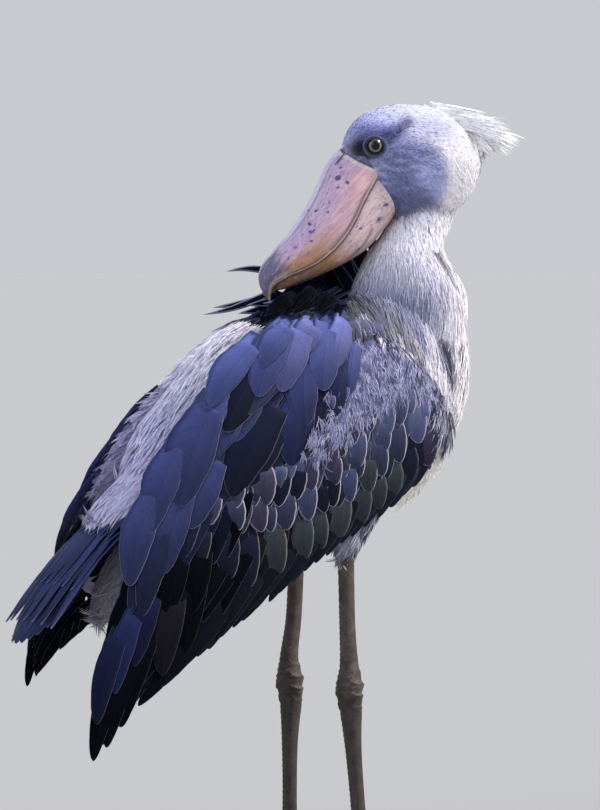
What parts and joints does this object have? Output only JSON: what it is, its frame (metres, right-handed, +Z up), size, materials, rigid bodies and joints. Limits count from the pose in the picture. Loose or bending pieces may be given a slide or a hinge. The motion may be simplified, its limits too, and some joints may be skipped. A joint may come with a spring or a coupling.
{
  "type": "shoebill, life-size still model",
  "caption": "Life-size standing shoebill with its head turned back over its shoulder to preen, still model with no joints.",
  "frame": {"origin": "on the floor, under the middle of the bird's bounding box", "axes": "+X the way the breast faces, +Y towards the bird's left, +Z up"},
  "size_m": [0.7102, 0.3196, 1.0007],
  "materials": {
    "plumage": "soft pale lilac grey body feathers, matt, with whitish tips",
    "slate_feathers": "slate blue to near black wing feathers with pale edges, a slight gloss on the vanes",
    "tail_feathers": "dark slate tail feathers, matt",
    "bill": "horn, pinkish straw and lilac with darker blotches, dull",
    "eye": "wet and glossy, pale iris with a dark pupil",
    "leg_skin": "dark grey brown scaly skin, dull",
    "claw": "dark horn, slight sheen"
  },
  "bodies": {
    "root": {"torso": "plumage", "neck": "plumage", "head": "plumage", "eye_left": "eye", "eye_right": "eye", "bill_upper": "bill", "bill_lower": "bill", "wing_right": "slate_feathers", "wing_left": "slate_feathers", "tail": "tail_feathers", "thigh_right": "plumage", "leg_right": "leg_skin", "foot_right": "leg_skin", "claw_right_inner": "claw", "claw_right_middle": "claw", "claw_right_outer": "claw", "claw_right_hind": "claw", "thigh_left": "plumage", "leg_left": "leg_skin", "foot_left": "leg_skin", "claw_left_inner": "claw", "claw_left_middle": "claw", "claw_left_outer": "claw", "claw_left_hind": "claw"}
  },
  "joints": []
}
